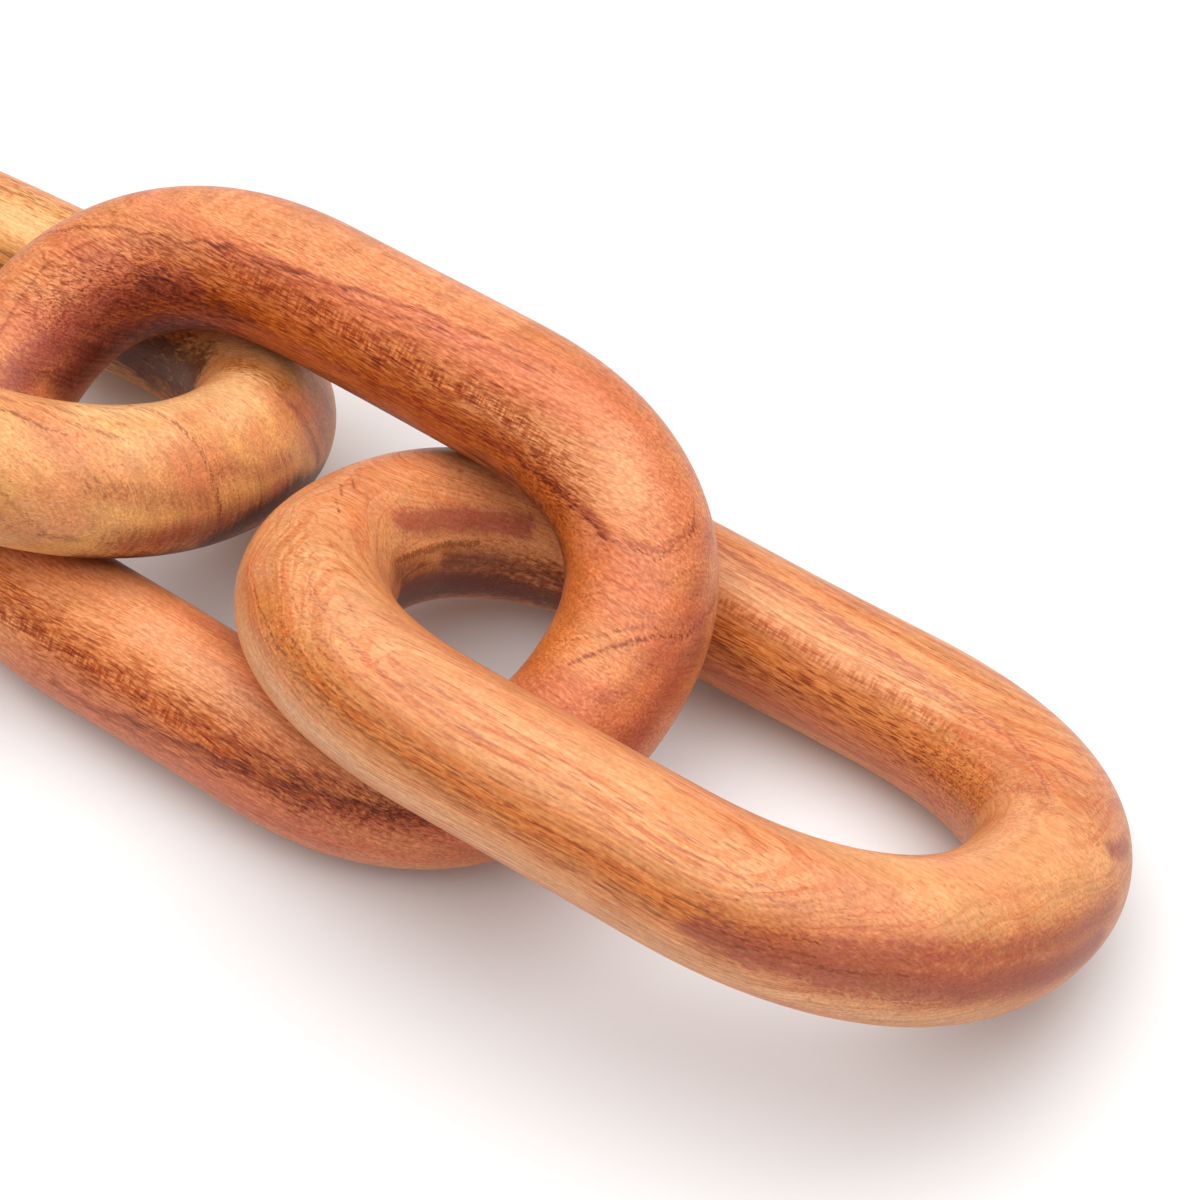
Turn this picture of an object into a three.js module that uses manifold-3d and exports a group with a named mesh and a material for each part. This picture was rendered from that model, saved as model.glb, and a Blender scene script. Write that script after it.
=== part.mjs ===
import * as THREE from 'three';
import { ParametricGeometry } from 'three/addons/geometries/ParametricGeometry.js';
import { mergeVertices } from 'three/addons/utils/BufferGeometryUtils.js';
import Module from 'manifold-3d';

const wasm = await Module();
wasm.setup();

// A carved wooden chain: three loose oval links of round rod, threaded through one another.
// Millimetres. +X runs along the chain, +Z is up and the table is at z = 0.

// Facets of the solid: around the oval, and around the rod's section.
const stepsAlongOval = 66;
const stepsAroundRod = 24;

// How deep each link is sanded flat where it rests on the table.
const restFlatDepth = 0.45;

// The table, as a slab just larger than the chain, for sanding the rest flats.
const tableSlab = { length: 400, width: 200, thickness: 20 };

// Each link in its own plane: straight sides halfStraight long either way of its middle,
// then two rounded ends. endDepth is how far an end's centre line reaches past the straight
// sides, and fullness is its superellipse exponent: 2 is an ellipse, more is squarer.
// The rod's radius changes a little from the sides to the bends, as hand sanding leaves it.
// x and y place the link's middle on the table. Turns are in degrees: yaw about the upright,
// pitch lowers the +X end and tilt lifts the +Y side, so neighbours lean opposite ways.
const links = [
  {
    name: 'link_front',
    color: 0xc98450,
    halfStraight: 22.1,
    halfWidth: 41.3,
    plusEnd: { endDepth: 48.6, fullness: 2.28 },
    minusEnd: { endDepth: 48.8, fullness: 2.26 },
    sideRadius: 13.7,
    bendRadius: 14.3,
    x: 86,
    y: 0,
    yaw: 0.7,
    pitch: 1.5,
    tilt: -22.1,
  },
  {
    name: 'link_middle',
    color: 0xb8703f,
    halfStraight: 21.9,
    halfWidth: 39.2,
    plusEnd: { endDepth: 49.6, fullness: 2.28 },
    minusEnd: { endDepth: 49.1, fullness: 2.33 },
    sideRadius: 14.1,
    bendRadius: 13.9,
    x: 0.5,
    y: -1,
    yaw: -1.8,
    pitch: -0.5,
    tilt: 25.8,
  },
  {
    name: 'link_back',
    color: 0xc79058,
    halfStraight: 21.8,
    halfWidth: 40.7,
    plusEnd: { endDepth: 48.7, fullness: 2.25 },
    minusEnd: { endDepth: 49.6, fullness: 2.26 },
    sideRadius: 14,
    bendRadius: 14.2,
    x: -91,
    y: -1.3,
    yaw: 1.9,
    pitch: -1,
    tilt: -22.3,
  },
];

// A rounded end of a link's centre line: a half superellipse, walked clockwise.
// side is +1 for the +X end and -1 for the -X end.
class LinkEnd extends THREE.Curve {
  constructor(link, end, side) {
    super();
    this.link = link;
    this.end = end;
    this.side = side;
  }

  getPoint(t, target = new THREE.Vector3()) {
    const angle = Math.PI * (0.5 - t);
    const power = 2 / this.end.fullness;
    const along = this.end.endDepth * Math.abs(Math.cos(angle)) ** power;
    const across = Math.sign(angle) * Math.abs(Math.sin(angle)) ** power;
    const x = this.link.halfStraight + along;
    const y = this.link.halfWidth * across;
    return target.set(this.side * x, this.side * y, 0);
  }
}

// The closed centre line of a link: end, side, end, side, in the link's own plane.
function centreLine(link) {
  const corner = (x, y) => new THREE.Vector3(x * link.halfStraight, y * link.halfWidth, 0);
  const line = new THREE.CurvePath();
  line.add(new LinkEnd(link, link.plusEnd, 1));
  line.add(new THREE.LineCurve3(corner(1, -1), corner(-1, -1)));
  line.add(new LinkEnd(link, link.minusEnd, -1));
  line.add(new THREE.LineCurve3(corner(-1, 1), corner(1, 1)));
  return line;
}

// The rod swept round the centre line: the section's circle stands on the outward normal
// and the link's own upright, and its radius eases from sideRadius to bendRadius.
function rodSurface(link) {
  const line = centreLine(link);
  const reach = link.halfStraight + link.plusEnd.endDepth;
  const up = new THREE.Vector3(0, 0, 1);
  return (u, v, target) => {
    const around = u % 1;
    const angle = 2 * Math.PI * (v % 1);
    const point = line.getPoint(around);
    const outward = line.getTangent(around).cross(up);
    const ease = Math.min((point.x / reach) ** 2, 1);
    const radius = THREE.MathUtils.lerp(link.sideRadius, link.bendRadius, ease);
    target.copy(point);
    target.addScaledVector(outward, radius * Math.cos(angle));
    target.addScaledVector(up, radius * Math.sin(angle));
  };
}

// A closed mesh with shared vertices becomes a solid that can be cut.
function toSolid(geometry) {
  const bare = geometry.clone();
  bare.deleteAttribute('normal');
  bare.deleteAttribute('uv');
  const merged = mergeVertices(bare);
  return new wasm.Manifold(new wasm.Mesh({
    numProp: 3,
    vertProperties: merged.attributes.position.array,
    triVerts: new Uint32Array(merged.index.array),
  }));
}

function toGeometry(solid) {
  const mesh = solid.getMesh();
  const geometry = new THREE.BufferGeometry();
  geometry.setAttribute('position', new THREE.BufferAttribute(mesh.vertProperties, 3));
  geometry.setIndex(new THREE.BufferAttribute(mesh.triVerts, 1));
  geometry.computeVertexNormals();
  return geometry;
}

// Lowers a link until it stands restFlatDepth into the table.
function settle(mesh) {
  mesh.updateMatrixWorld();
  const box = new THREE.Box3().setFromObject(mesh, true);
  mesh.position.z -= box.min.z + restFlatDepth;
  mesh.updateMatrixWorld();
}

// Sands the link flat at the table's top, with the table brought into the link's own frame.
function sandRestFlat(mesh) {
  const table = new THREE.BoxGeometry(tableSlab.length, tableSlab.width, tableSlab.thickness);
  table.translate(0, 0, -tableSlab.thickness / 2);
  table.applyMatrix4(mesh.matrixWorld.clone().invert());
  mesh.geometry = toGeometry(toSolid(mesh.geometry).subtract(toSolid(table)));
}

function makeLink(link) {
  const geometry = new ParametricGeometry(rodSurface(link), stepsAlongOval, stepsAroundRod);
  const wood = new THREE.MeshStandardMaterial({ color: link.color, roughness: 0.45, metalness: 0 });
  const mesh = new THREE.Mesh(geometry, wood);
  mesh.name = link.name;
  mesh.position.set(link.x, link.y, 0);
  const turn = [link.tilt, link.pitch, link.yaw].map(THREE.MathUtils.degToRad);
  mesh.rotation.set(...turn, 'ZYX');
  settle(mesh);
  sandRestFlat(mesh);
  return mesh;
}

const chain = new THREE.Group();
for (const link of links) {
  chain.add(makeLink(link));
}

// The origin is on the table under the middle of the chain.
const middle = new THREE.Box3().setFromObject(chain, true).getCenter(new THREE.Vector3());
for (const mesh of chain.children) {
  mesh.position.x -= middle.x;
  mesh.position.y -= middle.y;
}

export default chain;
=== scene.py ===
"""A carved wooden chain: three loose oval links of solid hardwood, lying threaded through each other.

Each link is one closed surface, a round rod carried along an oval. The wood is a solid pattern in the
link's own axes, with the fibre along the link, so the grain runs lengthwise on the two sides of a link
and shows cut across at its ends, as it does when a chain is carved from one beam.
"""

import math

import bpy
import numpy as np
from mathutils import Euler, Matrix, Vector


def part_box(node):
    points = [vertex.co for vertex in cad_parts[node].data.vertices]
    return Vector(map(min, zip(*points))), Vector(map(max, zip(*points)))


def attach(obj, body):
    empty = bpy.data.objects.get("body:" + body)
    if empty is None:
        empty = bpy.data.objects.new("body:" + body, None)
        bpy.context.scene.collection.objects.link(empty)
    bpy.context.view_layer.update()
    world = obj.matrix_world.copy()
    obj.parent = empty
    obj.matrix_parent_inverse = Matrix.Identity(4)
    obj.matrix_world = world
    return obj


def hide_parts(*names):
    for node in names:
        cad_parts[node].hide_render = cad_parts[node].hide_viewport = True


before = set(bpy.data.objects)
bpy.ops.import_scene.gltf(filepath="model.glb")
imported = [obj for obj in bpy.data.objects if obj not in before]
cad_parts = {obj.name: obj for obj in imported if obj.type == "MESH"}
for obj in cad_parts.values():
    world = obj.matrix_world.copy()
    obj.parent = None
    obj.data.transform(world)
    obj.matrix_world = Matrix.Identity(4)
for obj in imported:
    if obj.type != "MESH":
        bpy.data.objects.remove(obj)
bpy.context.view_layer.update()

bl_info = {
    "name": "Carved wooden chain",
    "version": (1, 0, 0),
    "blender": (4, 5, 0),
    "location": "View3D > Sidebar > Chain",
    "description": "Three interlocked oval links carved from solid hardwood, on a pale floor",
    "category": "Add Mesh",
}

MM = 0.001
FULL_TURN = 2.0 * math.pi


# Properties

def length_of(title, note, value):
    """A length property, given here in millimetres and kept in metres."""
    return bpy.props.FloatProperty(
        name=title, description=note, default=value * MM, unit="LENGTH", precision=5
    )


def angle_of(title, note, degrees):
    """An angle property, given here in degrees and kept in radians."""
    return bpy.props.FloatProperty(
        name=title, description=note, default=math.radians(degrees), unit="ROTATION"
    )


def amount_of(title, note, value, low=0.0, high=1.0):
    """A plain number between two limits."""
    return bpy.props.FloatProperty(name=title, description=note, default=value, min=low, max=high)


def colour_of(title, note, value):
    """A linear colour."""
    return bpy.props.FloatVectorProperty(
        name=title, description=note, default=value, size=3, min=0.0, max=1.0, subtype="COLOR"
    )


def link_settings(class_name, size, wood):
    """Make the PropertyGroup of one link from its own sizes and wood colours."""
    fields = {
        "half_straight": length_of(
            "Half straight", "Half the straight run of each long side", size["half_straight"]
        ),
        "half_width": length_of(
            "Half width", "From the link's middle to the middle of a side rod", size["half_width"]
        ),
        "plus_depth": length_of(
            "Front end depth", "How far the end towards +X reaches past the straight", size["plus"][0]
        ),
        "minus_depth": length_of(
            "Back end depth", "How far the end towards -X reaches past the straight", size["minus"][0]
        ),
        "plus_fullness": amount_of(
            "Front end fullness", "2 is an ellipse, more is squarer", size["plus"][1], 2.0, 4.0
        ),
        "minus_fullness": amount_of(
            "Back end fullness", "2 is an ellipse, more is squarer", size["minus"][1], 2.0, 4.0
        ),
        "side_radius": length_of(
            "Rod radius, sides", "Radius of the rod on the long sides", size["side_radius"]
        ),
        "bend_radius": length_of(
            "Rod radius, ends", "Radius of the rod at the two ends", size["bend_radius"]
        ),
        "yaw": angle_of("Yaw", "Turn about the upright axis", size["yaw"]),
        "pitch": angle_of("Pitch", "Lift of the back end", size["pitch"]),
        "tilt": angle_of("Tilt", "Lean about the link's long axis", size["tilt"]),
        "pith_distance": length_of(
            "Pith distance", "From the link's middle to the middle of the tree", wood["pith"][0]
        ),
        "pith_angle": angle_of(
            "Pith angle", "Which way the growth rings face, 90 is straight up", wood["pith"][1]
        ),
        "ring_lines": amount_of(
            "Ring lines", "How clearly the fine growth lines show", wood["ring_lines"], 0.0, 2.0
        ),
        "stipple": amount_of(
            "Stipple", "How strong the fine short flecking of the wood is", wood["stipple"], 0.0, 2.0
        ),
        "tremble": length_of(
            "Tremble", "How far the fibres waver from side to side over a few mm", wood["tremble"]
        ),
        "honey": colour_of("Honey wood", "The lighter of the two ground colours", wood["honey"]),
        "rose": colour_of("Rose wood", "The redder of the two ground colours", wood["rose"]),
        "gold": colour_of("Golden wood", "The deeper golden brown on the quarter", wood["gold"]),
        # Pale wood; the pale strokes also use it for painted highlights on tops and a painted floor
        # reflection on a lower edge.
        "pale": colour_of("Pale wood", "The palest, sapwood-like parts", wood["pale"]),
        "brown": colour_of("Brown lines", "The thin brown growth lines", wood["brown"]),
        "red": colour_of("Red lines", "The thin red-brown lines", wood["red"]),
        "purple": colour_of("Purple streaks", "The purple-brown streaks", wood["purple"]),
        # The dark patch colour is smoky wood and also painted shade in hollows, on undersides and under the
        # other links.
        "smoke": colour_of("Dark patches", "The dark smoky patches", wood["smoke"]),
    }
    notes = {"__doc__": "Sizes and wood colours of one link.", "__annotations__": fields}
    return type(class_name, (bpy.types.PropertyGroup,), notes)


FRONT_SIZE = {
    "half_straight": 22.1, "half_width": 41.3, "plus": (48.6, 2.28), "minus": (48.8, 2.26),
    "side_radius": 13.7, "bend_radius": 14.3, "yaw": 0.7, "pitch": 1.5, "tilt": -22.1,
}
MIDDLE_SIZE = {
    "half_straight": 21.9, "half_width": 39.2, "plus": (49.6, 2.28), "minus": (49.1, 2.33),
    "side_radius": 14.1, "bend_radius": 13.9, "yaw": -1.8, "pitch": -0.5, "tilt": 25.8,
}
BACK_SIZE = {
    "half_straight": 21.8, "half_width": 40.7, "plus": (48.7, 2.25), "minus": (49.6, 2.26),
    "side_radius": 14.0, "bend_radius": 14.2, "yaw": 1.9, "pitch": -1.0, "tilt": -22.3,
}
FRONT_WOOD = {
    "pith": (84.3, 85.2), "ring_lines": 0.85, "stipple": 0.75, "tremble": 0.5,
    "honey": (0.75, 0.345, 0.140), "rose": (0.71, 0.280, 0.118), "gold": (0.66, 0.225, 0.050),
    "pale": (0.86, 0.50, 0.26), "brown": (0.24, 0.062, 0.018), "red": (0.44, 0.105, 0.070),
    "purple": (0.36, 0.085, 0.055), "smoke": (0.110, 0.020, 0.015),
}
MIDDLE_WOOD = {
    "pith": (338.0, 26.7), "ring_lines": 0.16, "stipple": 1.25, "tremble": 1.3,
    "honey": (0.74, 0.300, 0.118), "rose": (0.68, 0.225, 0.096), "gold": (0.60, 0.165, 0.020),
    "pale": (0.84, 0.42, 0.21), "brown": (0.17, 0.036, 0.012), "red": (0.34, 0.062, 0.026),
    "purple": (0.34, 0.070, 0.050), "smoke": (0.090, 0.016, 0.010),
}
BACK_WOOD = {
    "pith": (400.0, 8.5), "ring_lines": 0.15, "stipple": 0.9, "tremble": 1.0,
    "honey": (0.82, 0.44, 0.160), "rose": (0.76, 0.33, 0.135), "gold": (0.56, 0.22, 0.050),
    "pale": (0.88, 0.56, 0.27), "brown": (0.20, 0.062, 0.018), "red": (0.40, 0.12, 0.045),
    "purple": (0.28, 0.066, 0.045), "smoke": (0.070, 0.016, 0.009),
}

FrontLinkSettings = link_settings("FrontLinkSettings", FRONT_SIZE, FRONT_WOOD)
MiddleLinkSettings = link_settings("MiddleLinkSettings", MIDDLE_SIZE, MIDDLE_WOOD)
BackLinkSettings = link_settings("BackLinkSettings", BACK_SIZE, BACK_WOOD)


class FinishSettings(bpy.types.PropertyGroup):
    """What all the links share: how finely they are drawn and how they are sanded and oiled."""

    steps_along: bpy.props.IntProperty(
        name="Steps along", description="Rings of points along one link", default=560, min=60
    )
    steps_around: bpy.props.IntProperty(
        name="Steps around", description="Points around the rod", default=176, min=24
    )
    hand_waviness: length_of("Hand waviness", "How far hand sanding strays from a true rod", 0.09)
    rest_flat: length_of("Rest flat", "How much is sanded flat where a link rests", 0.45)
    sheen_roughness: amount_of("Roughness", "Roughness of the oiled, sanded surface", 0.40)
    pore_depth: length_of("Pore depth", "Depth of the open pores", 0.12)
    gloss: amount_of("Gloss", "Strength of the oiled sheen, 0.5 is as strong as varnish", 0.28)


class StageSettings(bpy.types.PropertyGroup):
    """Floor, light and camera."""

    floor_size: bpy.props.FloatProperty(
        name="Floor size", description="Side of the square floor", default=6.0, unit="LENGTH"
    )
    floor_colour: colour_of("Floor colour", "Pale studio floor", (0.74, 0.74, 0.74))
    floor_glow: amount_of("Floor glow", "Light of its own that keeps the floor white", 0.04)
    room_light: amount_of("Room light", "Strength of the even light all round", 0.23, 0.0, 4.0)
    overhead_power: bpy.props.FloatProperty(
        name="Overhead light", description="Power of the large soft light", default=29.0, unit="POWER"
    )
    front_power: bpy.props.FloatProperty(
        name="Front light", description="Power of the soft light in front", default=3.0, unit="POWER"
    )
    camera_azimuth: angle_of("Camera azimuth", "Round from straight in front towards +X", 35.46)
    camera_elevation: angle_of("Camera elevation", "Height of the camera as an angle", 47.28)
    camera_roll: angle_of("Camera roll", "Roll of the camera about its own axis", 0.22)
    camera_distance: length_of("Camera distance", "From the camera to its target", 663.74)
    camera_lens: bpy.props.FloatProperty(
        name="Lens", description="Focal length on a 36 mm sensor", default=105.5, unit="CAMERA"
    )


class ChainSettings(bpy.types.PropertyGroup):
    """Everything the sidebar panel offers."""

    front: bpy.props.PointerProperty(type=FrontLinkSettings)
    middle: bpy.props.PointerProperty(type=MiddleLinkSettings)
    back: bpy.props.PointerProperty(type=BackLinkSettings)
    finish: bpy.props.PointerProperty(type=FinishSettings)
    stage: bpy.props.PointerProperty(type=StageSettings)


# Surfaces

def oval_line(link, count):
    """Points along the middle of the rod, evenly spaced, counterclockwise from the +X end.

    Formula: each end is a half superellipse, x = straight + depth * |cos t| ** (2 / fullness) and
    y = width * |sin t| ** (2 / fullness) with their signs, and the two ends stand apart by the
    straight run. The line is resampled by its own length and softened by a narrow Gaussian.
    """
    turn = np.linspace(0.0, FULL_TURN, 8001)
    cosine, sine = np.cos(turn), np.sin(turn)
    ahead = cosine >= 0.0
    depth = np.where(ahead, link.plus_depth, link.minus_depth)
    power = 2.0 / np.where(ahead, link.plus_fullness, link.minus_fullness)
    x = np.where(ahead, 1.0, -1.0) * (link.half_straight + depth * np.abs(cosine) ** power)
    y = link.half_width * np.sign(sine) * np.abs(sine) ** power
    run = np.concatenate([[0.0], np.cumsum(np.hypot(np.diff(x), np.diff(y)))])
    along = np.linspace(0.0, run[-1], count, endpoint=False)
    soften = 1.5 * MM
    wave = FULL_TURN * np.arange(count // 2 + 1) / run[-1]
    keep = np.exp(-0.5 * (wave * soften) ** 2)
    x = np.fft.irfft(np.fft.rfft(np.interp(along, run, x)) * keep, count)
    y = np.fft.irfft(np.fft.rfft(np.interp(along, run, y)) * keep, count)
    return along, run[-1], x, y


def hand_sanding(along, length, around, seed):
    """Small uneven swells of the rod, between about -1 and 1.

    Formula: the mean of a few cosines, each with a whole number of waves along and around the rod.
    """
    draw = np.random.default_rng(seed)
    a = FULL_TURN * along[:, None] / length
    b = around[None, :]
    total = np.zeros((along.size, around.size))
    for waves_along, waves_around in ((2, 1), (3, 1), (4, 2), (5, 1), (6, 2), (8, 1)):
        for way in (1, -1):
            total += np.cos(waves_along * a + way * waves_around * b + draw.uniform(0.0, FULL_TURN))
    return total / 4.0


def stroke_wander(along, length, degrees, seed):
    """How far a stroke strays from its drawn line at each point of the surface, in mm.

    Formula: a sum of cosines with whole numbers of waves along and around the rod, the short ones weak.
    """
    draw = np.random.default_rng(seed)
    a = (FULL_TURN * along / length)[:, None]
    b = np.radians(degrees)[None, :]
    total = np.zeros((along.size, degrees.size))
    for _ in range(24):
        waves = draw.integers(14, 70)
        total += np.cos(waves * a + draw.integers(-5, 6) * b + draw.uniform(0.0, FULL_TURN)) * 2.5 / waves
    return total


def link_surface(link, finish, seed):
    """Points of one link as an array (along, around, xyz) in the link's own axes, and their normals.

    Formula: point = oval line + radius * (cos b * outward + sin b * up), where outward is the oval's
    normal and the radius goes from its value on the sides to its value at the ends with the square of
    the way to the end, plus the hand waviness.
    """
    along, length, x, y = oval_line(link, finish.steps_along)
    tangent = np.stack([np.roll(x, -1) - np.roll(x, 1), np.roll(y, -1) - np.roll(y, 1)])
    tangent /= np.linalg.norm(tangent, axis=0)
    around = np.linspace(0.0, FULL_TURN, finish.steps_around, endpoint=False)
    reach = np.minimum((x / (link.half_straight + link.plus_depth)) ** 2, 1.0)
    radius = link.side_radius + (link.bend_radius - link.side_radius) * reach
    radius = radius[:, None] + finish.hand_waviness * hand_sanding(along, length, around, seed)
    out = np.stack([tangent[1][:, None] * np.cos(around), -tangent[0][:, None] * np.cos(around)], -1)
    up = np.broadcast_to(np.sin(around), radius.shape)
    normal = np.concatenate([out, up[..., None]], axis=-1)
    middle = np.stack([x, y, np.zeros_like(x)], axis=-1)[:, None, :]
    return along / MM, length / MM, np.degrees(around), middle + radius[..., None] * normal, normal


def closed_grid_faces(along, around):
    """Quads of a grid that is closed both ways, ordered so that they face outwards."""
    i = np.arange(along)[:, None]
    j = np.arange(around)[None, :]
    nxt_i = (i + 1) % along
    nxt_j = (j + 1) % around
    corners = [i * around + j, nxt_i * around + j, nxt_i * around + nxt_j, i * around + nxt_j]
    return np.stack(np.broadcast_arrays(*corners), axis=-1).reshape(-1, 4)


def stroke_closeness(along, length, degrees, wander, points, half_width):
    """How close the surface is to a stroke: 1 on it, falling evenly to 0 at its half width.

    Formula: the least distance to the stroke's straight pieces, on the rod's skin unrolled flat, with
    the way along and the way around both measured in millimetres and both closing on themselves.
    """
    mm_per_degree = 14.0 * math.pi / 180.0
    nearest = np.full((along.size, degrees.size), np.inf)
    for (start_s, start_a), (end_s, end_a) in zip(points[:-1], points[1:]):
        ds = ((along - start_s + 0.5 * length) % length - 0.5 * length)[:, None] + wander[0]
        da = (((degrees - start_a + 180.0) % 360.0 - 180.0) * mm_per_degree)[None, :] + wander[1]
        run_s = end_s - start_s
        run_a = (end_a - start_a) * mm_per_degree
        share = np.clip((ds * run_s + da * run_a) / (run_s ** 2 + run_a ** 2), 0.0, 1.0)
        nearest = np.minimum(nearest, np.hypot(ds - share * run_s, da - share * run_a))
    return np.clip(1.0 - nearest / half_width, 0.0, 1.0)


MARK_GROUPS = (
    ("streaks", ("brown", "red", "purple")),
    ("tones_light_and_shade", ("gold", "pale", "smoke")),
    ("figure", ("fleck", "pores", "plain")),
    ("lie", ("ripple", "blush", "cut")),
)


def paint_marks(along, length, degrees, strokes, sway, seed):
    """Each kind of mark as a field between 0 and 1 over the surface, from the strokes that make it."""
    wander = [sway * stroke_wander(along, length, degrees, seed + part) for part in (50, 60)]
    fields = {kind: np.zeros((along.size, degrees.size)) for _, kinds in MARK_GROUPS for kind in kinds}
    for kind, half_width, strength, points in strokes:
        near = stroke_closeness(along, length, degrees, wander, points, half_width)
        soft = near * near * (3.0 - 2.0 * near) * strength
        fields[kind] = np.maximum(fields[kind], soft)
    return fields


# Marks in the wood. Each is (kind, half width in mm, strength, points), a point being the way along
# the rod in mm from the +X end and the angle around it: 0 outwards, 90 up, 180 towards the hole.

# The dark patch strokes also paint shade in hollows and under the other links, and some pale strokes paint
# highlights and a floor reflection.
FRONT_MARKS = (
    ("red", 0.60, 0.95, ((14, 107), (24, 114), (36, 121), (52, 126), (66, 125), (82, 118), (100, 111),
                         (118, 104))),
    ("red", 0.55, 0.95, ((30, 114), (46, 122), (62, 123), (80, 116), (100, 108), (118, 102))),
    ("red", 0.55, 0.85, ((44, 130), (62, 130), (84, 122), (104, 115), (118, 109))),
    ("red", 0.50, 0.75, ((50, 118), (70, 118), (92, 109), (116, 99))),
    ("red", 0.50, 0.65, ((54, 134), (74, 130), (96, 124), (116, 118))),
    ("purple", 5.0, 0.22, ((10, 106), (34, 118), (62, 124), (96, 112), (118, 104))),
    ("brown", 0.50, 0.55, ((52, 106), (70, 108), (92, 100), (118, 92))),
    ("brown", 0.50, 0.60, ((46, 99), (62, 102), (84, 95), (114, 85))),
    ("brown", 0.50, 0.60, ((42, 92), (56, 97), (78, 91), (112, 80))),
    ("brown", 0.50, 0.60, ((38, 85), (52, 91), (72, 86), (106, 75))),
    ("brown", 0.50, 0.55, ((34, 78), (46, 85), (64, 81), (96, 71))),
    ("brown", 0.50, 0.50, ((31, 71), (40, 79), (54, 77), (74, 71))),
    ("red", 0.8, 0.70, ((17, 60), (15, 78), (19, 92), (28, 103))),
    ("red", 0.7, 0.60, ((21, 64), (20, 80), (26, 96), (36, 108))),
    ("red", 0.7, 0.55, ((6, 62), (6, 80), (10, 98))),
    ("red", 0.7, 0.45, ((11, 66), (11, 84), (15, 100))),
    ("purple", 3.0, 0.85, ((10, 52), (12, 44), (16, 36))),
    ("purple", 4.0, 0.30, ((16, 110), (20, 130), (24, 150))),
    ("gold", 9.0, 0.9, ((28, 166), (44, 172), (70, 172), (104, 168), (124, 166))),
    ("pores", 10.0, 1.0, ((28, 166), (50, 174), (84, 174), (120, 170))),
    ("brown", 0.8, 0.7, ((34, 182), (48, 184), (58, 181))),
    ("brown", 1.0, 0.7, ((84, 180), (98, 178), (110, 174))),
    ("fleck", 3.0, 0.75, ((48, 148), (78, 148), (104, 146), (122, 144))),
    ("pale", 5.0, 0.5, ((56, 138), (84, 135), (108, 130))),
    ("blush", 9.0, 0.8, ((30, 206), (70, 208), (110, 208))),
    # Dark smoky wood and painted shade inside the left bend, on faces turned down and towards the hole under
    # the middle link.
    ("smoke", 9.0, 1.0, ((134, 212), (160, 206), (184, 196), (200, 184))),
    ("smoke", 7.0, 0.7, ((134, 186), (156, 184), (180, 176))),
    ("purple", 5.0, 0.9, ((154, 150), (168, 147), (184, 140), (194, 130))),
    ("brown", 1.2, 1.0, ((168, 164), (180, 162), (190, 158), (204, 151))),
    ("smoke", 6.0, 0.55, ((188, 176), (196, 164), (206, 156))),
    ("pale", 8.0, 0.4, ((188, 100), (200, 84), (206, 60))),
    ("brown", 0.6, 1.0, ((193, 80), (196, 88))),
    ("brown", 0.6, 1.0, ((196, 77), (200, 86))),
    ("brown", 0.6, 0.8, ((202, 84), (206, 92))),
    ("red", 0.55, 0.60, ((206, 92), (228, 104), (262, 103), (300, 101))),
    ("red", 0.55, 0.60, ((216, 88), (232, 99), (258, 98), (296, 95), (316, 88), (330, 72))),
    ("red", 0.60, 0.75, ((234, 78), (246, 66), (268, 60), (296, 54), (322, 54))),
    ("red", 0.60, 0.80, ((226, 66), (242, 56), (268, 48), (300, 44), (328, 48))),
    ("red", 0.50, 0.70, ((250, 70), (276, 64), (296, 58), (310, 57))),
    ("red", 0.50, 0.60, ((262, 88), (284, 80), (304, 70), (316, 64))),
    ("red", 0.50, 0.60, ((230, 60), (250, 52), (272, 44), (306, 39))),
    ("red", 0.60, 0.75, ((224, 48), (244, 42), (276, 36), (310, 36), (330, 42))),
    ("brown", 0.55, 0.95, ((222, 26), (240, 12), (262, 3), (284, -4), (306, -5), (326, 3), (346, 12))),
    ("brown", 0.55, 0.95, ((232, 30), (254, 21), (286, 15), (312, 14), (334, 22))),
    ("brown", 0.50, 0.90, ((238, 17), (258, 10), (286, 5), (312, 5), (334, 12))),
    ("brown", 0.45, 0.80, ((236, 24), (258, 16), (286, 10), (316, 9))),
    ("brown", 0.45, 0.80, ((244, 9), (262, 6), (286, 0), (314, 0))),
    ("brown", 0.45, 0.60, ((240, 37), (262, 29), (294, 24), (320, 27))),
    ("gold", 7.0, 0.95, ((226, 26), (252, 14), (288, 10), (330, 14))),
    ("pores", 6.0, 0.5, ((232, 20), (256, 12), (288, 10), (326, 14))),
    ("purple", 7.0, 0.85, ((320, 4), (340, 6), (360, 6), (378, 2))),
    ("purple", 6.0, 0.65, ((330, 18), (350, 28), (366, 28), (382, 22))),
    ("red", 1.2, 0.6, ((322, -4), (340, -8), (352, -12))),
    ("blush", 10.0, 0.6, ((330, 10), (350, 14), (376, 10))),
    # Pale strip along the lower outer edge of the near rod: painted floor reflection.
    ("pale", 5.5, 0.7, ((214, 0), (238, -20), (276, -28), (326, -28), (356, -28))),
    ("plain", 13.0, 1.0, ((336, 90), (350, 84), (378, 80))),
    ("plain", 9.0, 0.7, ((236, 84), (270, 82), (310, 86))),
    # Pale along the top of the near rod: painted sheen.
    ("pale", 8.0, 0.35, ((222, 74), (256, 76), (300, 74))),
)

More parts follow.
